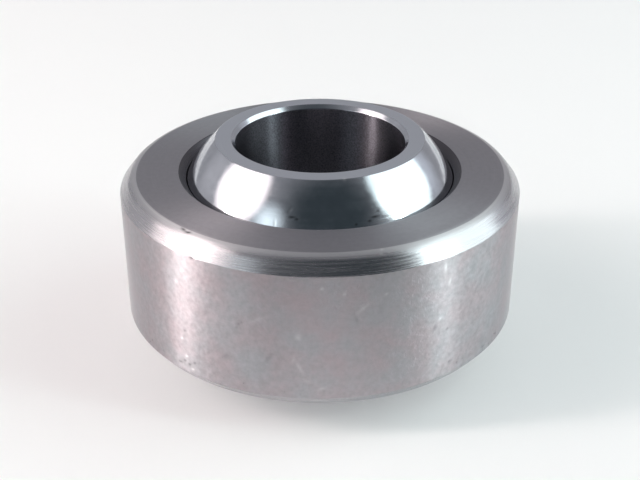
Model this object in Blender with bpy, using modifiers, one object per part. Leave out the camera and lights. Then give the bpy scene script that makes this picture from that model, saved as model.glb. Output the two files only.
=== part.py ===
"""Spherical plain bearing: a turned outer ring and the ball that swivels inside it.

The origin is the centre of the ball, and +Z runs along the bore.
Both pieces are turned shapes: a closed profile of (radius, height) points is swept round Z.
"""

import math

import bpy

MM = 0.001

# Ball. The flat land on each end face, between the chamfer and the sphere, sets the sphere: 28.8 mm.
BORE_DIAMETER = 16.0 * MM
BORE_CHAMFER = 0.4 * MM
END_LAND = 1.454 * MM
BALL_WIDTH = 21.0 * MM

# Fit of the ball in the ring's seat, measured along a radius
RUNNING_GAP = 0.05 * MM

# Outer ring. Its wall at the middle, between the seat and the outside, sets the outside: 38 mm.
RING_WALL = 4.55 * MM
RING_WIDTH = 15.0 * MM
MOUTH_CHAMFER = 0.7 * MM
EDGE_HEIGHT = 1.5 * MM
EDGE_RADIUS = 1.6 * MM
EDGE_SLOPE = math.radians(52.0)

# Fineness of the turned surfaces
TURN_STEPS = 80
SPHERE_STEP = math.radians(4.0)
EDGE_STEP = math.radians(10.5)
SHARP_ANGLE = math.radians(25.0)
MERGE_DISTANCE = 0.001 * MM


def arc(centre_radius, centre_height, radius, start, end, step):
    """Points on a circle from one angle to another, angles counted from the outward direction."""
    count = max(2, math.ceil(abs(end - start) / step))
    angles = [start + (end - start) * index / count for index in range(count + 1)]
    return [
        (centre_radius + radius * math.cos(angle), centre_height + radius * math.sin(angle))
        for angle in angles
    ]


def mirrored(points):
    """The same points below the middle plane, in the order that carries a profile on."""
    return [(radius, -height) for radius, height in reversed(points)]


def ball_radius():
    """The sphere runs through the outer rims of the ball's two end faces."""
    rim_radius = BORE_DIAMETER / 2 + BORE_CHAMFER + END_LAND
    return math.hypot(rim_radius, BALL_WIDTH / 2)


def seat_radius():
    """The ring's seat clears the ball by the running gap."""
    return ball_radius() + RUNNING_GAP


def ring_edge():
    """The ring's upper outer edge, from the flat face outwards: a radius, then a straight taper."""
    wall_radius = seat_radius() + RING_WALL
    half_width = RING_WIDTH / 2
    taper_height = EDGE_HEIGHT - EDGE_RADIUS * (1 - math.cos(EDGE_SLOPE))
    taper_top = wall_radius - taper_height / math.tan(EDGE_SLOPE)
    arc_centre = taper_top - EDGE_RADIUS * math.sin(EDGE_SLOPE)
    quarter = math.pi / 2
    rounded = arc(
        arc_centre, half_width - EDGE_RADIUS, EDGE_RADIUS, quarter, quarter - EDGE_SLOPE, EDGE_STEP
    )
    return rounded + [(wall_radius, half_width - EDGE_HEIGHT)]


def ring_profile():
    """Outer wall with an edge at each end, two flat faces, two mouth chamfers, spherical seat."""
    half_width = RING_WIDTH / 2
    seat_end = math.asin((half_width - MOUTH_CHAMFER) / seat_radius())
    mouth_radius = seat_radius() * math.cos(seat_end) + MOUTH_CHAMFER
    outside = ring_edge() + mirrored(ring_edge())
    seat = arc(0.0, 0.0, seat_radius(), -seat_end, seat_end, SPHERE_STEP)
    return outside + [(mouth_radius, -half_width)] + seat + [(mouth_radius, half_width)]


def ball_profile():
    """Zone of a sphere between two flat end faces, with a bore chamfered at both ends."""
    half_width = BALL_WIDTH / 2
    bore_radius = BORE_DIAMETER / 2
    face_angle = math.asin(half_width / ball_radius())
    zone = arc(0.0, 0.0, ball_radius(), face_angle, -face_angle, SPHERE_STEP)
    upper_bore = [
        (bore_radius, half_width - BORE_CHAMFER),
        (bore_radius + BORE_CHAMFER, half_width),
    ]
    return zone + mirrored(upper_bore) + upper_bore


def steel(name, colour, roughness):
    """A metal finish with one Principled shader."""
    material = bpy.data.materials.new(name)
    material.use_nodes = True
    shader = material.node_tree.nodes["Principled BSDF"]
    shader.inputs["Base Color"].default_value = (*colour, 1.0)
    shader.inputs["Metallic"].default_value = 1.0
    shader.inputs["Roughness"].default_value = roughness
    material.diffuse_color = (*colour, 1.0)
    return material


def turned_piece(name, profile, material, collection):
    """One closed solid: the profile as an edge loop in the XZ plane, swept once round Z."""
    outline = bpy.data.meshes.new(name)
    points = [(radius, 0.0, height) for radius, height in profile]
    edges = [(index, (index + 1) % len(points)) for index in range(len(points))]
    outline.from_pydata(points, edges, [])
    piece = bpy.data.objects.new(name, outline)
    collection.objects.link(piece)

    turn = piece.modifiers.new("turn", "SCREW")
    turn.axis = "Z"
    turn.angle = math.tau
    turn.steps = TURN_STEPS
    turn.render_steps = TURN_STEPS
    turn.use_merge_vertices = True
    turn.merge_threshold = MERGE_DISTANCE

    depsgraph = bpy.context.evaluated_depsgraph_get()
    solid = bpy.data.meshes.new_from_object(piece.evaluated_get(depsgraph))
    piece.modifiers.clear()
    piece.data = solid
    solid.name = name
    bpy.data.meshes.remove(outline)

    solid.shade_smooth()
    solid.set_sharp_from_angle(angle=SHARP_ANGLE)
    solid.materials.append(material)
    return piece


def main():
    for item in list(bpy.data.objects):
        bpy.data.objects.remove(item, do_unlink=True)
    collection = bpy.data.collections.new("spherical_plain_bearing")
    bpy.context.scene.collection.children.link(collection)

    fine_turned_steel = steel("fine_turned_steel", (0.40, 0.39, 0.41), 0.38)
    polished_steel = steel("polished_steel", (0.56, 0.57, 0.60), 0.12)
    turned_piece("outer_ring", ring_profile(), fine_turned_steel, collection)
    turned_piece("ball", ball_profile(), polished_steel, collection)


main()
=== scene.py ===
"""Spherical plain bearing: the finish of every turned surface, and a plain studio round it.

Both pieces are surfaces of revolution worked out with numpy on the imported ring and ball. Lengths
are in metres. An azimuth is an angle round the bore: 0 faces the camera, along -Y, and it grows
towards +X.
"""

import math

import bpy
import numpy as np
from bpy.props import FloatProperty, FloatVectorProperty, PointerProperty
from mathutils import Matrix, Vector


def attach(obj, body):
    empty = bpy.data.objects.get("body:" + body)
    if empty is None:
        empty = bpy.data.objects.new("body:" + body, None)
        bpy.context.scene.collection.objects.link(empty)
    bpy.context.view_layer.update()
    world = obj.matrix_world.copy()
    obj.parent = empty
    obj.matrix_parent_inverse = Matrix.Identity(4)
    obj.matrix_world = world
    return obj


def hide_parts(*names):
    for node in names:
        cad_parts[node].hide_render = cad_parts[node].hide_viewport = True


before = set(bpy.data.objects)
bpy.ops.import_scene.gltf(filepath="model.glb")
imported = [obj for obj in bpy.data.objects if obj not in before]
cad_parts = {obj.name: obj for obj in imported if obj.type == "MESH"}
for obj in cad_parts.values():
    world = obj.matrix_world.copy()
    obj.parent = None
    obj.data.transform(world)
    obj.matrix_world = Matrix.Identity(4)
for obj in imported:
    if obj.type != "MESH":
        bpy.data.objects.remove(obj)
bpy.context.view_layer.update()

bl_info = {
    "name": "Spherical plain bearing",
    "version": (1, 0, 0),
    "blender": (4, 5, 0),
    "location": "3D View > Sidebar > Bearing",
    "description": "Fine surfaces and steel finishes for a spherical plain bearing, and a studio",
    "category": "Object",
}

MM = 0.001

# Spacing of the fine sampling that an outline is rounded on, and points per radian that it turns
SAMPLE_STEP = 0.004 * MM
POINTS_PER_RADIAN = 6.0

# Points that a round stretch of an outline is drawn with before it is sampled
ARC_POINTS = 200

# Spacing of the points along each stretch of the ring's outline
WALL_STEP = 0.19 * MM
EDGE_STEP = 0.12 * MM
RING_FACE_STEP = 0.8 * MM
MOUTH_STEP = 0.4 * MM
SEAT_STEP = 1.2 * MM

# The same for the ball: its sphere inside the seat and outside it, its end face, its chamfer and
# its bore
HIDDEN_STEP = 0.6 * MM
SPHERE_STEP = 0.15 * MM
BALL_FACE_STEP = 0.5 * MM
CHAMFER_STEP = 0.1 * MM
BORE_STEP = 1.0 * MM

# Height up to which the ball's sphere lies deep in the seat at rest, as a share of its radius
HIDDEN_SHARE = 0.3

# Steps round each piece, how much closer together they come at the front, and how many azimuths
# this spread is worked out on
RING_TURNS = 544
BALL_TURNS = 520
FRONT_SHARE = 0.7
FINE_AZIMUTHS = 20001

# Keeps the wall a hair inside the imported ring
HAIR = 0.0001 * MM

# Grit left by grinding, facing and tumbling. The real one, of a few hundredths of a millimetre, is
# too fine to show in the render, so it is drawn as coarse as it needs to be
COARSE_GRIT = 0.3 * MM

# Ranges of a soft noise that are stretched: the whole of it, the part that blends two stains, and
# the part that digs pits
NOISE_RANGE = (0.3, 0.7)
STAIN_RANGE = (0.36, 0.64)
PIT_RANGE = (0.57, 0.66)
NOISE_ROUGHNESS = 0.55

# How fast the painted sheen pales steel towards a grazing view, as a power of how far it faces away
PAINTED_SHEEN_POWER = 9.0

# Colours of the painted sheen at a grazing view and of the edge's painted highlight, of a pale mark,
# also used for two painted highlight lines, and of a dark one
WHITE = (1.0, 1.0, 1.0)
PALE_MARK = (0.9, 0.9, 0.9)
DARK_MARK = (0.03, 0.03, 0.03)

# Turns the stretch of a highlight from along the machining lines to across them, in whole turns
QUARTER_TURN = 0.25

# Camera: upward shift of the picture as a share of its width, and the nearest distance it sees
CAMERA_SHIFT = -0.009
CAMERA_CLIP = 5.0 * MM

# Floor: half its side, and the faces along a side
FLOOR_HALF = 0.4
FLOOR_FACES = 8

# Softboxes: distance from the bearing, even glow, half width and half height of the hot spot in
# degrees, and the shares of the way to the rim where the glow starts to fade and is gone
LAMP_DISTANCE = 0.5
LAMP_EVEN = 1.9
HOT_HALF_WIDTH = 6.6
HOT_HALF_HEIGHT = 25.0
LAMP_FULL = 0.88
LAMP_GONE = 1.22

# Glow that lifts the floor card to a near white
CARD_LIFT = 0.20

# Sines of the elevations between which the white backdrop, below the horizon, gives way to the room
HORIZON = (-0.01, 0.02)

# Dim glow of the room, and its patches: azimuth and elevation of the middle, the angles where the
# patch is full and gone, all in degrees, and its colour
ROOM_BASE = (0.40, 0.40, 0.42)
ROOM_PATCHES = (
    (12.0, 40.0, 19.0, 60.0, (0.050, 0.064, 0.072)),
    (0.0, 0.0, 12.0, 32.0, (0.70, 0.66, 0.70)),
    (-118.0, 17.0, 2.0, 24.0, (0.64, 0.63, 0.65)),
    (120.0, 20.0, 3.0, 21.0, (0.78, 0.81, 0.87)),
    (-47.0, 29.0, 1.0, 17.0, (1.60, 1.80, 1.85)),
)

# Sockets of a Mix node that blends colours
MIX_FACTOR = 0
MIX_FIRST = 6
MIX_SECOND = 7
MIX_RESULT = 2


def linear(code):
    """Scene-linear red, green and blue of an sRGB colour written as six hex digits."""
    parts = [int(code[start : start + 2], 16) / 255 for start in (0, 2, 4)]
    return tuple(
        part / 12.92 if part <= 0.04045 else ((part + 0.055) / 1.055) ** 2.4 for part in parts
    )


def corners_of(node):
    """A CAD node's corners as distance from the axis and height, two arrays."""
    corners = np.array([vertex.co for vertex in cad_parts[node].data.vertices])
    return np.hypot(corners[:, 0], corners[:, 1]), corners[:, 2]


def length(name, description, default):
    """A size that a user can change, in metres."""
    return FloatProperty(
        name=name,
        description=description,
        default=default,
        min=0.0,
        precision=5,
        subtype="DISTANCE",
        unit="LENGTH",
    )


def angle(name, description, degrees):
    """An angle that a user can change, given in degrees."""
    return FloatProperty(
        name=name,
        description=description,
        default=math.radians(degrees),
        subtype="ANGLE",
        unit="ROTATION",
    )


def colour(name, description, code):
    """A colour that a user can change, given as sRGB hex."""
    return FloatVectorProperty(
        name=name,
        description=description,
        default=linear(code),
        min=0.0,
        max=1.0,
        subtype="COLOR",
    )


def level(name, description, default):
    """A plain number that a user can change."""
    return FloatProperty(name=name, description=description, default=default, min=0.0)


ring_radii, ring_heights = corners_of("outer_ring")
ball_radii, ball_heights = corners_of("ball")
WALL_RADIUS = float(ring_radii.max()) - HAIR
RING_HALF = float(ring_heights.max())
BALL_RADIUS = float(ball_radii.max())
BALL_HALF = float(ball_heights.max())
BORE_RADIUS = float(ball_radii.min())


class BearingSizes(bpy.types.PropertyGroup):
    """Sizes of the two turned pieces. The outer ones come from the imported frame."""

    wall_radius: length("Ring radius", "Outside radius of the ring", WALL_RADIUS)
    ring_half: length("Ring half width", "Middle plane to the ring's face", RING_HALF)
    mouth_chamfer: length("Mouth chamfer", "Leg of the chamfer at the ring's mouth", 0.7 * MM)
    edge_height: length("Edge height", "Height of the ring's blended edge", 1.5 * MM)
    edge_radius: length("Edge radius", "Radius between the ring's face and its taper", 1.6 * MM)
    edge_slope: angle("Edge slope", "Angle of the taper to the ring's face", 52.0)
    edge_start: angle("Edge start", "Slope on the radius where the faced finish gives way", 12.0)
    ring_break: length(
        "Ring edge break", "Length over which the ring's corners are rounded", 0.13 * MM
    )
    running_gap: length("Running gap", "Clearance between ball and seat, along a radius", 0.05 * MM)
    ball_radius: length("Ball radius", "Radius of the ball's sphere", BALL_RADIUS)
    ball_half: length("Ball half width", "Middle plane to the ball's end face", BALL_HALF)
    bore_radius: length("Bore radius", "Radius of the bore", BORE_RADIUS)
    bore_chamfer: length("Bore chamfer", "Leg of the chamfer at the bore's ends", 0.4 * MM)
    ball_break: length(
        "Ball edge break", "Length over which the ball's corners are rounded", 0.1 * MM
    )


class BearingColours(bpy.types.PropertyGroup):
    """Colours that the steel shows on its different surfaces."""

    wall_warm: colour("Wall, warm", "Ground steel where it is stained warm", "b7adb1")
    wall_cool: colour("Wall, cool", "Ground steel where it is stained cool", "b2b1b5")
    face: colour("Ring face", "Fine faced steel of the ring", "a9a7ac")
    edge: colour("Ring edge", "Bright turned steel of the ring's blended edge", "b8b6ba")
    # The seat and mouth are dark as painted shade in the gap round the ball
    seat: colour("Seat", "Greased steel of the seat and the mouth", "57555a")
    ball: colour("Ball", "Polished steel of the ball", "c3c6cd")
    ball_face: colour("Ball face", "Faced steel of the ball's ends", "ccd0d8")
    # The bore is darker than the ball's other steel, as painted shade inside it
    bore: colour("Bore", "Reamed steel of the bore", "76757d")
    floor: colour("Floor", "Matt card of the floor", "e4e4e4")


class BearingStudio(bpy.types.PropertyGroup):
    """The camera and the light of the studio."""

    distance: length("Distance", "From the middle of the bearing to the camera", 108.4 * MM)
    elevation: angle("Elevation", "Height of the camera above the horizon, as an angle", 27.71)
    lens: level("Lens", "Focal length in millimetres", 61.71)
    left_lamp: level("Left lamp", "Extra brightness of the left softbox's hot spot", 35.0)
    right_lamp: level("Right lamp", "Extra brightness of the right softbox's hot spot", 22.0)


def straight(start, end, step):
    """A straight stretch of an outline: its points, and the spacing wanted on it."""
    return np.array([start, end]), step


def arc(centre, radius, start, end, step):
    """A round stretch: centre plus radius times the cosine and sine of angles from start to end."""
    angles = np.linspace(start, end, ARC_POINTS)
    return np.array(centre) + radius * np.stack([np.cos(angles), np.sin(angles)], axis=1), step


def flipped(stretches):
    """The same stretches mirrored in the middle plane, in the order that goes on round."""
    return [(points[::-1] * (1.0, -1.0), step) for points, step in reversed(stretches)]


def running_mean(values, window):
    """Mean of each value and its neighbours on a closed loop."""
    padded = np.concatenate([values[-window:], values, values[:window]])
    return np.convolve(padded, np.ones(window) / window, "same")[window:-window]


def closed_outline(stretches, edge_break):
    """A closed outline with rounded corners and well spread points.

    The stretches are sampled evenly by length. A running mean as long as the edge break turns each
    corner into a short parabola that is tangent to both its sides. The points are then spread so
    that one step of their running total is the wanted spacing, or a share of a radian of turn.
    Gives the points, their place along the outline, and the stretch that each step lies in.
    """
    rows = np.concatenate([points for points, step in stretches])
    rows = np.concatenate([rows, rows[:1]])
    travelled = np.concatenate([[0.0], np.cumsum(np.linalg.norm(np.diff(rows, axis=0), axis=1))])
    ends = travelled[np.cumsum([len(points) for points, step in stretches]) - 1]
    count = round(travelled[-1] / SAMPLE_STEP)
    samples = np.arange(count) * travelled[-1] / count
    window = max(1, round(edge_break / SAMPLE_STEP))
    soft = [running_mean(np.interp(samples, travelled, column), window) for column in rows.T]
    soft = np.stack(soft, axis=1)

    ahead = np.roll(soft, -1, axis=0) - soft
    heading = np.unwrap(np.arctan2(ahead[:, 1], ahead[:, 0]))
    turning = np.abs(np.gradient(heading))
    stretch = np.searchsorted(ends, samples).clip(max=len(stretches) - 1)
    wanted = np.array([step for points, step in stretches])[stretch]
    weight = travelled[-1] / count / wanted + POINTS_PER_RADIAN * turning
    total = np.concatenate([[0.0], np.cumsum(weight)])
    steps = round(total[-1])
    edges = np.append(samples, travelled[-1])
    place = np.interp(np.arange(steps) * total[-1] / steps, total, edges)
    around = np.concatenate([soft, soft[:1]])
    outline = np.stack([np.interp(place, edges, column) for column in around.T], axis=1)
    middles = (place + np.append(place[1:], travelled[-1])) / 2
    return outline, place, np.searchsorted(ends, middles).clip(max=len(stretches) - 1)


def azimuths(count):
    """Azimuths from the back round the front to the back, closer together towards the front.

    Their density is one plus the front share times the cosine of the azimuth.
    """
    fine = np.linspace(-math.pi, math.pi, FINE_AZIMUTHS)
    total = fine + math.pi + FRONT_SHARE * np.sin(fine)
    return np.interp(np.arange(count) * math.tau / count, total, fine)


def turned_piece(name, outline, along, finishes, count, marks):
    """A surface of revolution: the outline's point at distance r and height z, turned to azimuth a.

    x is r times the sine of a, y is minus r times its cosine, and z is the height. A mark is a dent
    or a rise that is a Gaussian in the distance round and along the outline, pushed along the
    normal. The mesh keeps the place along the outline and the marks' tone as two attributes.
    """
    turn = azimuths(count)
    rows = len(outline)
    radius = np.broadcast_to(outline[:, 0], (count, rows)).copy()
    height = np.broadcast_to(outline[:, 1], (count, rows)).copy()
    ahead = np.roll(outline, -1, axis=0) - np.roll(outline, 1, axis=0)
    outward = np.stack([ahead[:, 1], -ahead[:, 0]], axis=1)
    outward /= np.linalg.norm(outward, axis=1, keepdims=True)

    shade = np.zeros((count, rows))
    for mark in marks:
        spread = mark.spread(turn[:, None], outline, along)
        radius -= mark.depth * spread * outward[:, 0]
        height -= mark.depth * spread * outward[:, 1]
        shade += mark.tone * spread

    x = radius * np.sin(turn)[:, None]
    y = -radius * np.cos(turn)[:, None]
    points = np.stack([x, y, height], axis=2).reshape(-1, 3)

    here = np.arange(count)[:, None] * rows + np.arange(rows)
    beside = np.roll(here, -1, axis=0)
    faces = np.stack(
        [here, beside, np.roll(beside, -1, axis=1), np.roll(here, -1, axis=1)], axis=2
    ).reshape(-1, 4)

    mesh = bpy.data.meshes.new(name)
    mesh.from_pydata(points, [], faces)
    place = mesh.attributes.new("along", "FLOAT", "POINT")
    place.data.foreach_set("value", np.tile(along, count).astype(np.float32))
    tone = mesh.attributes.new("tone", "FLOAT", "POINT")
    tone.data.foreach_set("value", shade.ravel().astype(np.float32))
    materials = list(dict.fromkeys(finishes))
    for material in materials:
        mesh.materials.append(material)
    slots = np.array([materials.index(material) for material in finishes])
    mesh.polygons.foreach_set("material_index", np.tile(slots, count).astype(np.int32))
    mesh.polygons.foreach_set("use_smooth", np.ones(len(faces), dtype=bool))
    mesh.update()
    piece = bpy.data.objects.new(name, mesh)
    bpy.context.scene.collection.objects.link(piece)
    return piece


class Mark:
    """A small dent, scuff, pit or painted highlight line in a turned surface, in degrees and
    millimetres.

    It is placed by azimuth, radius and height. length runs round the piece and width along its
    outline, tilt turns both anticlockwise, depth pushes in, and tone is above 0 where the mark is
    pale and below 0 where it is dark.
    """

    def __init__(self, azimuth, radius, height, length, width, tilt=0.0, depth=0.0, tone=0.0):
        self.azimuth = math.radians(azimuth)
        self.place = np.array((radius, height)) * MM
        self.length = length * MM
        self.width = width * MM
        self.tilt = math.radians(tilt)
        self.depth = depth * MM
        self.tone = tone

    def spread(self, turn, outline, along):
        """A Gaussian of the distance round and along the outline from its point nearest the mark."""
        nearest = np.argmin(np.linalg.norm(outline - self.place, axis=1))
        across = (turn - self.azimuth) * outline[nearest, 0]
        up = along - along[nearest]
        u = across * math.cos(self.tilt) + up * math.sin(self.tilt)
        v = up * math.cos(self.tilt) - across * math.sin(self.tilt)
        return np.exp(-((u / self.length) ** 2) - (v / self.width) ** 2)


def add(tree, kind, inputs=None, **settings):
    """Adds a node: settings are its own properties, inputs are values or sockets that feed it."""
    made = tree.nodes.new(kind)
    for name, value in settings.items():
        setattr(made, name, value)
    for key, value in (inputs or {}).items():
        if isinstance(value, bpy.types.NodeSocket):
            tree.links.new(value, made.inputs[key])
        else:
            made.inputs[key].default_value = value
    return made


def calculate(tree, operation, *values):
    """Adds a Math node and gives its result."""
    inputs = dict(enumerate(values))
    return add(tree, "ShaderNodeMath", inputs, operation=operation).outputs["Value"]


def remap(tree, value, start, end, first, last, kind="LINEAR"):
    """Maps a value from the range start to end onto the range first to last, held at both ends."""
    numbers = {"Value": value, "From Min": start, "From Max": end, "To Min": first, "To Max": last}
    return add(tree, "ShaderNodeMapRange", numbers, interpolation_type=kind).outputs["Result"]


def blend(tree, share, first, second, kind="MIX"):
    """Blends two colours, each a socket or three numbers."""
    inputs = {MIX_FACTOR: share}
    for slot, value in ((MIX_FIRST, first), (MIX_SECOND, second)):
        inputs[slot] = value if isinstance(value, bpy.types.NodeSocket) else (*value, 1.0)
    return add(tree, "ShaderNodeMix", inputs, data_type="RGBA", blend_type=kind).outputs[MIX_RESULT]


def noise(tree, vector, size, detail=2.0):
    """A soft noise whose blobs are about as wide as the size."""
    inputs = {"Vector": vector, "Scale": 1 / size, "Detail": detail, "Roughness": NOISE_ROUGHNESS}
    return add(tree, "ShaderNodeTexNoise", inputs).outputs["Fac"]


def steel(
    name,
    first,
    second,
    roughness,
    anisotropy,
    grit_size,
    grit_height,
    line_spacing,
    line_height,
    line_length=8.0 * MM,
    stain_size=4.0 * MM,
    mottle=0.0,
    mottle_size=0.5 * MM,
    pit_size=0.4 * MM,
    pit_depth=0.0,
    roughness_speckle=0.0,
    roughness_swing=0.04,
    roughness_rise=0.0,
    rim=0.0,
    shoulder=(0.0, 1.0),
    shoulder_roughness=0.0,
    shoulder_painted_highlight=0.0,
):
    """A machined steel surface.

    Colour: two tones blended by a soft stain noise, mottled by a finer one, with the marks' own tone
    added. Relief: an even grit, sparse pits, and lines that follow the turning because their noise
    runs along the outline much faster than round the piece. Highlights stretch across those lines.
    The roughness swings with them and with the speckle, which makes a highlight sparkle and leaves
    the dark places even, and it rises by roughness_rise for each millimetre of height. The rim is a
    painted sheen: it pales the colour where the surface is seen at a grazing angle. The shoulder
    gives the heights, up or down from the middle plane, between which the surface grows rougher by
    shoulder_roughness and paler by shoulder_painted_highlight, a painted highlight.
    """
    material = bpy.data.materials.new(name)
    material.use_nodes = True
    tree = material.node_tree
    shader = tree.nodes["Principled BSDF"]
    place = add(tree, "ShaderNodeTexCoord").outputs["Object"]
    along = add(tree, "ShaderNodeAttribute", attribute_name="along").outputs["Fac"]
    tone = add(tree, "ShaderNodeAttribute", attribute_name="tone").outputs["Fac"]

    grit = noise(tree, place, grit_size)
    stain = remap(tree, noise(tree, place, stain_size, detail=4.0), *STAIN_RANGE, 0.0, 1.0)
    stained = blend(tree, stain, first, second)
    speckle = remap(tree, noise(tree, place, mottle_size, detail=3.0), *NOISE_RANGE, -1.0, 1.0)
    tint = calculate(tree, "MULTIPLY_ADD", speckle, mottle, 1.0)
    mottled = blend(tree, 1.0, stained, tint, kind="MULTIPLY")
    # Painted sheen: the colour grows white towards a grazing view, by the rim share
    facing = add(tree, "ShaderNodeLayerWeight", {"Blend": 0.5}).outputs["Facing"]
    painted_sheen_share = calculate(tree, "MULTIPLY", calculate(tree, "POWER", facing, PAINTED_SHEEN_POWER), rim)
    with_painted_sheen = blend(tree, painted_sheen_share, mottled, WHITE)
    height = add(tree, "ShaderNodeSeparateXYZ", {"Vector": place}).outputs["Z"]
    far = remap(tree, calculate(tree, "ABSOLUTE", height), *shoulder, 0.0, 1.0, kind="SMOOTHSTEP")
    # Painted highlight: the shoulder's colour is paled towards white
    painted_highlight_share = calculate(tree, "MULTIPLY", far, shoulder_painted_highlight)
    with_painted_highlight = blend(tree, painted_highlight_share, with_painted_sheen, WHITE)
    pale = blend(tree, tone, with_painted_highlight, PALE_MARK)
    dark = blend(tree, calculate(tree, "MULTIPLY", tone, -1.0), pale, DARK_MARK)
    tree.links.new(dark, shader.inputs["Base Color"])

    factors = {0: place, 1: (1 / line_length, 1 / line_length, 0.0)}
    sideways = add(tree, "ShaderNodeVectorMath", factors, operation="MULTIPLY").outputs["Vector"]
    rise = calculate(tree, "DIVIDE", along, line_spacing)
    upward = add(tree, "ShaderNodeCombineXYZ", {"Z": rise}).outputs["Vector"]
    spot = add(tree, "ShaderNodeVectorMath", {0: sideways, 1: upward}, operation="ADD")
    lines = noise(tree, spot.outputs["Vector"], 1.0)
    pits = remap(tree, noise(tree, place, pit_size, detail=3.0), *PIT_RANGE, 0.0, -pit_depth)
    relief = calculate(tree, "MULTIPLY_ADD", grit, grit_height, pits)
    relief = calculate(tree, "MULTIPLY_ADD", lines, line_height, relief)
    bump = add(tree, "ShaderNodeBump", {"Height": relief, "Strength": 1.0, "Distance": 1.0})
    tree.links.new(bump.outputs["Normal"], shader.inputs["Normal"])

    smoothest, roughest = roughness - roughness_swing, roughness + roughness_swing
    uneven = remap(tree, lines, *NOISE_RANGE, smoothest, roughest)
    uneven = calculate(tree, "MULTIPLY_ADD", height, roughness_rise / MM, uneven)
    uneven = calculate(tree, "MULTIPLY_ADD", far, shoulder_roughness, uneven)
    uneven = calculate(tree, "MULTIPLY_ADD", speckle, roughness_speckle, uneven)
    tree.links.new(uneven, shader.inputs["Roughness"])
    tangent = add(tree, "ShaderNodeTangent", direction_type="RADIAL", axis="Z")
    tree.links.new(tangent.outputs["Tangent"], shader.inputs["Tangent"])
    shader.inputs["Metallic"].default_value = 1.0
    shader.inputs["Anisotropic"].default_value = anisotropy
    shader.inputs["Anisotropic Rotation"].default_value = QUARTER_TURN
    return material


def ground_wall_steel(colours):
    """Bearing steel, ground and then tumbled: pale streaks up the wall, broken by grit and pits.

    Tumbling has worn the grinding lines nearly flat. What is left of them is too fine to show and
    is drawn at 0.3 mm.
    """
    return steel(
        "ground_bearing_steel",
        colours.wall_warm,
        colours.wall_cool,
        roughness=0.37,
        anisotropy=1.0,
        grit_size=COARSE_GRIT,
        grit_height=0.014 * MM,
        line_spacing=0.3 * MM,
        line_height=0.001 * MM,
        stain_size=3.2 * MM,
        mottle=0.13,
        mottle_size=0.5 * MM,
        roughness_speckle=0.05,
        roughness_swing=0.0,
        pit_size=0.5 * MM,
        pit_depth=0.006 * MM,
        roughness_rise=0.009,
        # Painted sheen on the wall's sides, where it is seen at a grazing angle
        rim=0.8,
    )


def faced_ring_steel(colours):
    """Bearing steel, faced with a fine feed: its lines spread the lamps into two pale quarters.

    The real feed is under 0.1 mm for each turn, too fine to show, and is drawn at 0.15 mm.
    """
    return steel(
        "faced_bearing_steel",
        colours.face,
        colours.face,
        roughness=0.44,
        anisotropy=0.8,
        grit_size=COARSE_GRIT,
        grit_height=0.004 * MM,
        line_spacing=0.15 * MM,
        line_height=0.002 * MM,
        mottle=0.04,
    )


def turned_edge_steel(colours):
    """Bearing steel, form-turned and left bright: its lines draw the highlights into streaks.

    Its shoulder towards the ring's face is a little rougher, and paler as a painted highlight. The
    tool's real lines are under 0.1 mm apart, too fine to show, and are drawn at 0.15 mm.
    """
    return steel(
        "turned_bearing_steel",
        colours.edge,
        colours.edge,
        roughness=0.26,
        anisotropy=0.8,
        grit_size=COARSE_GRIT,
        grit_height=0.003 * MM,
        line_spacing=0.15 * MM,
        line_height=0.013 * MM,
        line_length=6.0 * MM,
        roughness_swing=0.07,
        shoulder=(7.10 * MM, 7.42 * MM),
        shoulder_roughness=0.14,
        # Paler shoulder next to the face: a painted highlight, over a rougher land
        shoulder_painted_highlight=0.34,
    )


def seat_steel(colours):
    """Bearing steel, ground inside the ring, its colour darkened to paint a deep shadow round the
    ball.

    Its grinding lines are too fine to show and are drawn at 0.2 mm.
    """
    return steel(
        "dark_seat_painted_shade",
        colours.seat,
        colours.seat,
        roughness=0.3,
        anisotropy=0.2,
        grit_size=COARSE_GRIT,
        grit_height=0.001 * MM,
        line_spacing=0.2 * MM,
        line_height=0.002 * MM,
    )


def polished_ball_steel(colours):
    """Bearing steel, lapped and polished: a near mirror under a faint haze of polishing lines.

    Those lines are a few hundredths of a millimetre apart, too fine to show, and are drawn at
    0.3 mm, over an unevenness of 0.5 mm that lapping leaves.
    """
    return steel(
        "polished_bearing_steel",
        colours.ball,
        colours.ball,
        roughness=0.12,
        anisotropy=0.2,
        grit_size=0.5 * MM,
        grit_height=0.002 * MM,
        line_spacing=0.3 * MM,
        line_height=0.002 * MM,
        mottle=0.05,
        mottle_size=1.2 * MM,
        roughness_speckle=0.03,
        roughness_swing=0.03,
    )


def faced_ball_steel(colours):
    """Bearing steel, faced and lightly polished at the ball's ends: an even pale grey.

    The real feed is under 0.1 mm for each turn, too fine to show, and is drawn at 0.12 mm.
    """
    return steel(
        "faced_ball_steel",
        colours.ball_face,
        colours.ball_face,
        roughness=0.32,
        anisotropy=0.5,
        grit_size=COARSE_GRIT,
        grit_height=0.003 * MM,
        line_spacing=0.12 * MM,
        line_height=0.002 * MM,
    )


def reamed_bore_steel(colours):
    """Bearing steel, reamed: rough across the bore, so that its wall, darkened as painted shade,
    sparkles in two streaks.

    The sparkles are torn grain, well under 0.1 mm wide and drawn at 0.15 mm. The reamer's lines are
    too fine to show and are drawn at 0.2 mm.
    """
    return steel(
        "reamed_bore_painted_shade",
        colours.bore,
        colours.bore,
        roughness=0.3,
        anisotropy=1.0,
        grit_size=0.14 * MM,
        grit_height=0.006 * MM,
        line_spacing=0.2 * MM,
        line_height=0.003 * MM,
        line_length=3.0 * MM,
        mottle=0.36,
        mottle_size=0.15 * MM,
        roughness_swing=0.01,
    )
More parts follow.
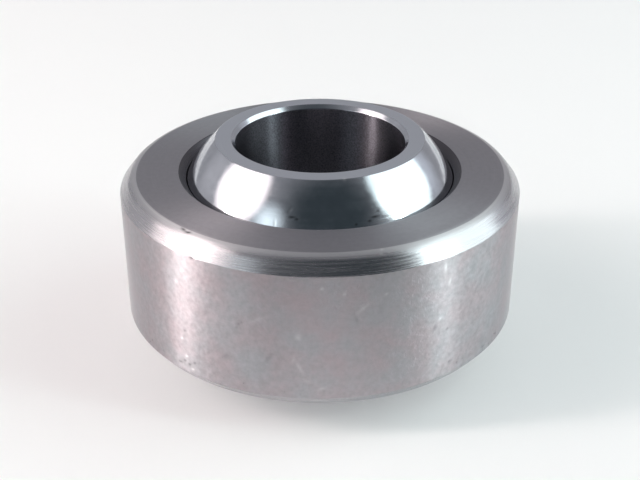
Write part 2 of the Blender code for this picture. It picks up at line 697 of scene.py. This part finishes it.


# Nicks on the ring's edge, two painted highlight lines along its boundary with the face, then
# smudges, scuffs, scratches and pits on its wall
RING_MARKS = (
    Mark(-41.4, 17.56, 7.45, 0.32, 0.10, tilt=-8, depth=0.03, tone=-1.0),
    Mark(-39.2, 17.62, 7.42, 0.28, 0.10, tilt=14, depth=0.03, tone=-1.0),
    Mark(-34.5, 19.0, 5.98, 0.26, 0.12, depth=0.04, tone=-0.8),
    Mark(-95.5, 17.97, 7.24, 0.20, 0.10, depth=0.03, tone=-0.7),
    Mark(16.8, 17.61, 7.43, 0.13, 0.11, depth=0.008, tone=0.8),
    Mark(16.2, 17.97, 7.24, 0.12, 0.10, depth=0.008, tone=0.7),
    Mark(1.2, 18.62, 6.53, 0.16, 0.09, tilt=20, depth=0.02, tone=-0.4),
    # Long thin pale lines where the edge meets the face: painted highlights
    Mark(-56.0, 17.55, 7.46, 4.20, 0.05, tone=0.45),
    Mark(56.0, 17.60, 7.44, 3.60, 0.05, tone=0.45),
    Mark(-25.2, 19.0, -2.9, 0.45, 0.30, tilt=30, depth=0.02, tone=-0.24),
    Mark(-13.5, 19.0, -2.35, 0.18, 0.45, tilt=-35, depth=0.03, tone=-0.30),
    Mark(-12.4, 19.0, -1.75, 0.30, 0.14, tilt=15, depth=0.02, tone=-0.26),
    Mark(-5.5, 19.0, 0.17, 0.24, 0.32, tilt=-15, depth=0.015, tone=0.42),
    Mark(-5.2, 19.0, -2.85, 0.13, 0.60, tilt=25, depth=0.015, tone=0.40),
    Mark(-6.8, 19.0, -2.1, 0.13, 0.40, tilt=-10, depth=0.015, tone=0.32),
    Mark(-3.4, 19.0, -4.1, 0.50, 0.13, tilt=-20, depth=0.01, tone=0.25),
    Mark(0.5, 19.0, -4.86, 0.40, 0.14, tilt=20, depth=0.015, tone=0.35),
    Mark(0.5, 19.0, 4.92, 0.14, 0.13, tone=0.50),
    Mark(6.0, 19.0, 4.41, 0.14, 0.14, tone=0.50),
    Mark(16.8, 19.0, 4.08, 0.14, 0.13, tone=0.50),
    Mark(10.8, 19.0, 2.9, 0.70, 0.13, tilt=40, depth=0.02, tone=0.30),
    Mark(9.2, 19.0, 1.9, 0.13, 0.50, tilt=15, depth=0.02, tone=-0.26),
    Mark(-16.0, 19.0, 1.6, 0.90, 0.12, tilt=28, depth=0.01, tone=0.22),
    Mark(33.8, 19.0, 5.09, 0.13, 0.40, tilt=5, depth=0.015, tone=0.60),
    Mark(35.5, 19.0, 3.52, 0.13, 0.30, tilt=-8, depth=0.015, tone=0.50),
    Mark(33.0, 19.0, 0.2, 0.24, 0.16, tilt=30, depth=0.02, tone=0.50),
    Mark(31.2, 19.0, -0.6, 0.15, 0.30, tilt=-20, depth=0.02, tone=-0.30),
    Mark(35.5, 19.0, -1.06, 0.14, 0.13, depth=0.03, tone=-0.40),
    Mark(37.0, 19.0, -4.81, 0.14, 0.13, depth=0.03, tone=-0.40),
    Mark(-21.8, 19.0, 0.45, 0.13, 0.13, depth=0.03, tone=-0.30),
    Mark(-21.2, 19.0, 0.67, 0.13, 0.13, depth=0.03, tone=-0.30),
    Mark(-20.4, 19.0, 0.95, 0.13, 0.13, depth=0.03, tone=-0.30),
    Mark(-38.5, 19.0, -1.68, 0.15, 0.13, tilt=30, depth=0.03, tone=-0.40),
    Mark(-37.5, 19.0, -5.2, 0.15, 0.13, depth=0.03, tone=-0.60),
    Mark(-39.2, 19.0, -5.0, 0.14, 0.13, depth=0.03, tone=-0.55),
    Mark(-41.0, 19.0, -5.4, 0.30, 0.13, depth=0.03, tone=-0.50),
    Mark(-35.6, 19.0, -4.7, 0.14, 0.13, depth=0.02, tone=-0.45),
    Mark(-38.4, 19.0, -4.3, 0.16, 0.13, depth=0.01, tone=0.70),
    Mark(-36.4, 19.0, -5.6, 0.18, 0.13, depth=0.01, tone=0.70),
    Mark(-39.8, 19.0, -2.6, 0.13, 0.15, depth=0.01, tone=0.55),
    Mark(-40.6, 19.0, 3.0, 0.13, 0.16, depth=0.01, tone=0.50),
    Mark(-38.2, 19.0, 4.4, 0.14, 0.14, depth=0.01, tone=0.50),
)

# A bright nick on the rim of the ball's upper face, dark nicks low on its sphere, and a pale spot
BALL_MARKS = (
    Mark(12.5, 9.90, 10.45, 0.14, 0.10, depth=0.008, tone=0.9),
    Mark(-11.5, 12.07, 7.85, 0.32, 0.08, tilt=10, depth=0.01, tone=-0.8),
    Mark(-9.4, 12.14, 7.74, 0.16, 0.09, depth=0.01, tone=-0.8),
    Mark(-12.6, 11.75, 8.32, 0.22, 0.09, tilt=50, depth=0.008, tone=0.4),
    Mark(22.8, 12.24, 7.59, 0.42, 0.08, tilt=-5, depth=0.01, tone=-0.9),
    Mark(20.2, 12.35, 7.41, 0.16, 0.09, depth=0.01, tone=-0.8),
    Mark(14.5, 12.45, 7.24, 0.11, 0.10, depth=0.01, tone=-0.8),
    Mark(24.5, 11.98, 7.99, 0.20, 0.07, tilt=20, depth=0.008, tone=-0.5),
    Mark(-18.2, 12.4, 7.32, 0.08, 0.30, tilt=10, depth=0.008, tone=0.5),
)


def ring_outline(sizes):
    """The ring's stretches, anticlockwise from the middle of its wall, and the finish of each.

    Upwards from the middle plane: the wall, the taper, the radius in two parts, of which the second
    has the face's finish, the face, the chamfer of the mouth and the seat. The lower half is their
    mirror image.
    """
    wall, half = sizes.wall_radius, sizes.ring_half
    slope, round_radius = sizes.edge_slope, sizes.edge_radius
    taper_drop = sizes.edge_height - round_radius * (1 - math.cos(slope))
    round_foot = wall - taper_drop / math.tan(slope)
    centre = (round_foot - round_radius * math.sin(slope), half - round_radius)
    slopes = (slope, sizes.edge_start, 0.0)
    blends = [
        arc(centre, round_radius, math.pi / 2 - first, math.pi / 2 - last, EDGE_STEP)
        for first, last in zip(slopes, slopes[1:])
    ]
    wall_top = (wall, half - sizes.edge_height)
    seat_radius = sizes.ball_radius + sizes.running_gap
    seat_end = math.asin((half - sizes.mouth_chamfer) / seat_radius)
    seat_rim = (seat_radius * math.cos(seat_end), half - sizes.mouth_chamfer)
    mouth = (seat_rim[0] + sizes.mouth_chamfer, half)
    upper = [
        straight((wall, 0.0), wall_top, WALL_STEP),
        straight(wall_top, blends[0][0][0], EDGE_STEP),
        *blends,
        straight(blends[-1][0][-1], mouth, RING_FACE_STEP),
        straight(mouth, seat_rim, MOUTH_STEP),
        arc((0.0, 0.0), seat_radius, seat_end, 0.0, SEAT_STEP),
    ]
    names = ["wall", "edge", "edge", "face", "face", "seat", "seat"]
    return upper + flipped(upper), names + names[::-1]


def ball_outline(sizes):
    """The ball's stretches, anticlockwise from its equator, and the finish of each.

    Upwards from the middle plane: the sphere inside the seat, the sphere outside it, the end face,
    the chamfer and the bore. The lower half is their mirror image.
    """
    radius, half, bore = sizes.ball_radius, sizes.ball_half, sizes.bore_radius
    end = math.asin(half / radius)
    hidden = math.asin(HIDDEN_SHARE)
    rim = (radius * math.cos(end), half)
    chamfer_top = (bore + sizes.bore_chamfer, half)
    chamfer_foot = (bore, half - sizes.bore_chamfer)
    upper = [
        arc((0.0, 0.0), radius, 0.0, hidden, HIDDEN_STEP),
        arc((0.0, 0.0), radius, hidden, end, SPHERE_STEP),
        straight(rim, chamfer_top, BALL_FACE_STEP),
        straight(chamfer_top, chamfer_foot, CHAMFER_STEP),
        straight(chamfer_foot, (bore, 0.0), BORE_STEP),
    ]
    names = ["sphere", "sphere", "face", "sphere", "bore"]
    return upper + flipped(upper), names + names[::-1]


class BEARING_OT_outer_ring(bpy.types.Operator):
    """Build the outer ring: ground wall, bright blended edges, faced sides and spherical seat"""

    bl_idname = "bearing.outer_ring"
    bl_label = "Outer ring"

    def execute(self, context):
        sizes, colours = context.scene.bearing_sizes, context.scene.bearing_colours
        stretches, names = ring_outline(sizes)
        outline, along, stretch = closed_outline(stretches, sizes.ring_break)
        finishes = {
            "wall": ground_wall_steel(colours),
            "edge": turned_edge_steel(colours),
            "face": faced_ring_steel(colours),
            "seat": seat_steel(colours),
        }
        ring = turned_piece(
            "outer_ring_fine",
            outline,
            along,
            [finishes[names[index]] for index in stretch],
            count=RING_TURNS,
            marks=RING_MARKS,
        )
        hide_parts("outer_ring")
        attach(ring, "outer_ring")
        return {"FINISHED"}


class BEARING_OT_ball(bpy.types.Operator):
    """Build the ball: polished sphere, faced ends and reamed bore"""

    bl_idname = "bearing.ball"
    bl_label = "Ball"

    def execute(self, context):
        sizes, colours = context.scene.bearing_sizes, context.scene.bearing_colours
        stretches, names = ball_outline(sizes)
        outline, along, stretch = closed_outline(stretches, sizes.ball_break)
        finishes = {
            "sphere": polished_ball_steel(colours),
            "face": faced_ball_steel(colours),
            "bore": reamed_bore_steel(colours),
        }
        ball = turned_piece(
            "ball_fine",
            outline,
            along,
            [finishes[names[index]] for index in stretch],
            count=BALL_TURNS,
            marks=BALL_MARKS,
        )
        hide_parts("ball")
        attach(ball, "ball")
        return {"FINISHED"}


def flat_grid(name, half_x, half_y, steps):
    """A flat sheet in its own XY plane: x and y run evenly from minus to plus the half sizes."""
    columns = np.linspace(-half_x, half_x, steps + 1)
    rows = np.linspace(-half_y, half_y, steps + 1)
    x, y = np.meshgrid(columns, rows)
    points = np.stack([x, y, np.zeros_like(x)], axis=2).reshape(-1, 3)
    here = np.arange(steps)[:, None] * (steps + 1) + np.arange(steps)
    faces = np.stack([here, here + 1, here + steps + 2, here + steps + 1], axis=2).reshape(-1, 4)
    mesh = bpy.data.meshes.new(name)
    mesh.from_pydata(points, [], faces)
    mesh.update()
    sheet = bpy.data.objects.new(name, mesh)
    bpy.context.scene.collection.objects.link(sheet)
    return sheet


def direction(azimuth, elevation):
    """Unit vector towards an azimuth and elevation in degrees, azimuth 0 along -Y, growing to +X."""
    turn, rise = math.radians(azimuth), math.radians(elevation)
    level_share = math.cos(rise)
    return np.array([math.sin(turn) * level_share, -math.cos(turn) * level_share, math.sin(rise)])


def fade(tree, value, full, gone):
    """One up to the value full, then a smooth step down to nothing at the value gone."""
    return remap(tree, value, full, gone, 1.0, 0.0, kind="SMOOTHSTEP")


def softbox(name, azimuth, elevation, half_width, half_height, hot_place, hot, tint):
    """A round diffusing panel that faces the bearing: an even glow, a soft rim and a tall hot spot.

    Its half sizes and the hot spot's place are angles in degrees, seen from the bearing. The panel
    adds its glow to the room behind it and casts no shadow.
    """
    turns = (half_width, half_height, *hot_place, HOT_HALF_WIDTH, HOT_HALF_HEIGHT)
    spans = [LAMP_DISTANCE * math.tan(math.radians(turn)) for turn in turns]
    width, height, hot_x, hot_y, hot_width, hot_height = spans
    panel = flat_grid(name, LAMP_GONE * width, LAMP_GONE * height, 1)
    away = Vector(direction(azimuth, elevation))
    panel.location = away * LAMP_DISTANCE
    panel.rotation_mode = "QUATERNION"
    panel.rotation_quaternion = (-away).to_track_quat("Z", "Y")
    panel.visible_camera = False
    panel.visible_shadow = False

    material = bpy.data.materials.new(name + "_cloth")
    material.use_nodes = True
    tree = material.node_tree
    tree.nodes.clear()
    place = add(tree, "ShaderNodeTexCoord").outputs["Object"]
    x, y = add(tree, "ShaderNodeSeparateXYZ", {"Vector": place}).outputs[:2]
    spot = hot
    for value, middle, half in ((x, hot_x, hot_width), (y, hot_y, hot_height)):
        away_from_spot = calculate(tree, "ABSOLUTE", calculate(tree, "SUBTRACT", value, middle))
        spot = calculate(tree, "MULTIPLY", spot, fade(tree, away_from_spot, 0.0, half))
    shares = {0: place, 1: (1 / width, 1 / height, 0.0)}
    shares = add(tree, "ShaderNodeVectorMath", shares, operation="MULTIPLY").outputs["Vector"]
    outward = add(tree, "ShaderNodeVectorMath", {0: shares}, operation="LENGTH").outputs["Value"]
    strength = calculate(tree, "ADD", spot, LAMP_EVEN)
    strength = calculate(tree, "MULTIPLY", strength, fade(tree, outward, LAMP_FULL, LAMP_GONE))
    glow = add(tree, "ShaderNodeEmission", {"Color": (*tint, 1.0), "Strength": strength})
    clear = add(tree, "ShaderNodeBsdfTransparent")
    both = add(tree, "ShaderNodeAddShader", {0: glow.outputs[0], 1: clear.outputs[0]})
    add(tree, "ShaderNodeOutputMaterial", {"Surface": both.outputs[0]})
    panel.data.materials.append(material)
    return panel


def seen_rays(tree):
    """One for rays from the camera and for mirrored and refracted ones, nothing for the rest."""
    path = add(tree, "ShaderNodeLightPath").outputs
    seen = calculate(tree, "MAXIMUM", path["Is Camera Ray"], path["Is Glossy Ray"])
    return calculate(tree, "MAXIMUM", seen, path["Is Transmission Ray"])


def room(base, patches, backdrop):
    """The room's dim glow, as a world: a base colour with round patches of other colours.

    Past the floor's edge, below the horizon, the plain backdrop colour is seen and mirrored.
    """
    world = bpy.data.worlds.new("room")
    world.use_nodes = True
    tree = world.node_tree
    away = add(tree, "ShaderNodeTexCoord").outputs["Generated"]
    colour = base
    for azimuth, elevation, full, gone, patch in patches:
        towards = tuple(direction(azimuth, elevation))
        facing = add(tree, "ShaderNodeVectorMath", {0: away, 1: towards}, operation="DOT_PRODUCT")
        turn = calculate(tree, "ARCCOSINE", facing.outputs["Value"])
        share = fade(tree, turn, math.radians(full), math.radians(gone))
        colour = blend(tree, share, colour, patch)
    height = add(tree, "ShaderNodeSeparateXYZ", {"Vector": away}).outputs["Z"]
    low = calculate(tree, "MULTIPLY", fade(tree, height, *HORIZON), seen_rays(tree))
    shown = blend(tree, low, colour, backdrop)
    tree.links.new(shown, tree.nodes["Background"].inputs["Color"])
    return world


def matt_card(colour):
    """White card, matt. Where it is seen or mirrored it is lifted a little, and keeps its shadow."""
    card = bpy.data.materials.new("matt_card")
    card.use_nodes = True
    tree = card.node_tree
    shader = tree.nodes["Principled BSDF"]
    shader.inputs["Base Color"].default_value = (*colour, 1.0)
    shader.inputs["Roughness"].default_value = 1.0
    shader.inputs["Specular IOR Level"].default_value = 0.0
    lift = calculate(tree, "MULTIPLY", seen_rays(tree), CARD_LIFT)
    shader.inputs["Emission Color"].default_value = (*WHITE, 1.0)
    tree.links.new(lift, shader.inputs["Emission Strength"])
    card.cycles.emission_sampling = "NONE"
    return card


class BEARING_OT_stage(bpy.types.Operator):
    """Build the stage: white floor, dim room, two softboxes and the camera"""

    bl_idname = "bearing.stage"
    bl_label = "Stage"

    def execute(self, context):
        scene = context.scene
        sizes, colours, studio = scene.bearing_sizes, scene.bearing_colours, scene.bearing_studio

        floor = flat_grid("floor", FLOOR_HALF, FLOOR_HALF, FLOOR_FACES)
        floor.data.transform(Matrix.Translation((0.0, 0.0, -sizes.ball_half)))
        floor.data.materials.append(matt_card(colours.floor))
        left = softbox(
            "left_softbox",
            azimuth=-86.0,
            elevation=35.0,
            half_width=21.3,
            half_height=21.3,
            hot_place=(-5.5, -10.0),
            hot=studio.left_lamp,
            tint=(1.0, 0.88, 0.85),
        )
        right = softbox(
            "right_softbox",
            azimuth=92.0,
            elevation=35.0,
            half_width=25.2,
            half_height=25.0,
            hot_place=(19.5, -12.0),
            hot=studio.right_lamp,
            tint=(0.85, 1.0, 0.98),
        )
        scene.world = room(ROOM_BASE, ROOM_PATCHES, WHITE)

        data = bpy.data.cameras.new("camera")
        data.lens = studio.lens
        data.shift_y = CAMERA_SHIFT
        data.clip_start = CAMERA_CLIP
        camera = bpy.data.objects.new("camera", data)
        camera.location = studio.distance * direction(0.0, math.degrees(studio.elevation))
        camera.rotation_euler = (math.pi / 2 - studio.elevation, 0.0, 0.0)
        scene.collection.objects.link(camera)
        scene.camera = camera
        scene.view_settings.view_transform = "Standard"
        return {"FINISHED"}


class BEARING_PT_sidebar(bpy.types.Panel):
    """Sizes, colours and steps of the bearing"""

    bl_idname = "BEARING_PT_sidebar"
    bl_label = "Spherical plain bearing"
    bl_space_type = "VIEW_3D"
    bl_region_type = "UI"
    bl_category = "Bearing"

    def draw(self, context):
        scene = context.scene
        for group in (scene.bearing_sizes, scene.bearing_colours, scene.bearing_studio):
            box = self.layout.box()
            for name in group.bl_rna.properties.keys():
                if name not in ("rna_type", "name"):
                    box.prop(group, name)
        for operator in OPERATORS:
            self.layout.operator(operator.bl_idname)


OPERATORS = (BEARING_OT_outer_ring, BEARING_OT_ball, BEARING_OT_stage)
CLASSES = (BearingSizes, BearingColours, BearingStudio, *OPERATORS, BEARING_PT_sidebar)


def register():
    """Registers the classes and gives the scene its groups of sizes, colours and studio values."""
    for item in CLASSES:
        bpy.utils.register_class(item)
    bpy.types.Scene.bearing_sizes = PointerProperty(type=BearingSizes)
    bpy.types.Scene.bearing_colours = PointerProperty(type=BearingColours)
    bpy.types.Scene.bearing_studio = PointerProperty(type=BearingStudio)


def unregister():
    """Takes the groups and the classes away again."""
    del bpy.types.Scene.bearing_studio
    del bpy.types.Scene.bearing_colours
    del bpy.types.Scene.bearing_sizes
    for item in reversed(CLASSES):
        bpy.utils.unregister_class(item)


def main():
    register()
    bpy.ops.bearing.outer_ring()
    bpy.ops.bearing.ball()
    bpy.ops.bearing.stage()


if __name__ == "__main__":
    main()
